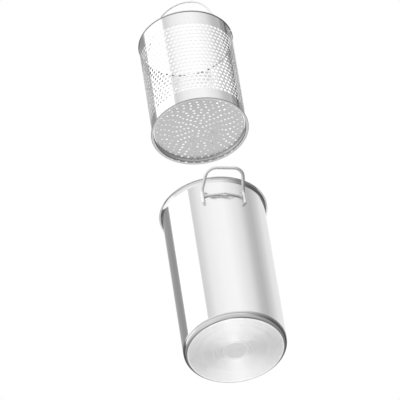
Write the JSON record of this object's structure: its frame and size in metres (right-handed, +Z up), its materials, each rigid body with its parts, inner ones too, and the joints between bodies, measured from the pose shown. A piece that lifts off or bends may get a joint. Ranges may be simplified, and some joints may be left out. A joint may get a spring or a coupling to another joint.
{
  "type": "pasta pot with strainer insert",
  "caption": "Tall round steel cooking pot with flared rim, wire side handles and thick base, with a lift-out perforated strainer carried by a swinging wire bail.",
  "frame": {"origin": "centre of the base's underside, on the pot's axis", "axes": "+Z up along the pot's axis; the two side handles are on -Y (front) and +Y (rear)"},
  "size_m": [0.1694, 0.232, 0.7334],
  "materials": {
    "pot_steel": "polished stainless steel, faint turning marks",
    "cap_steel": "turned stainless steel",
    "core_aluminium": "plain, enclosed",
    "handle_steel": "polished wire",
    "basket_steel": "satin polished perforated sheet",
    "rim_steel": "polished wire",
    "bail_steel": "polished wire"
  },
  "bodies": {
    "pot": {"pot_shell": "pot_steel", "base_cap": "cap_steel", "base_core": "core_aluminium", "handle_front_loop": "handle_steel", "handle_front_cross_wire": "handle_steel", "handle_rear_loop": "handle_steel", "handle_rear_cross_wire": "handle_steel"},
    "basket": {"basket_wall": "basket_steel", "basket_base": "basket_steel", "basket_rim_wire": "rim_steel"},
    "bail": {"bail": "bail_steel"}
  },
  "joints": [
    {"name": "basket_lift", "type": "slide", "parent": "pot", "child": "basket", "axis": [0, 0, 1], "range_m": [-0.447, 0]},
    {"name": "bail_swing", "type": "hinge", "parent": "basket", "child": "bail", "pos_m": [0, 0, 0.6375], "axis": [0.8616, -0.5075, 0], "range_deg": [-50, 50]}
  ]
}
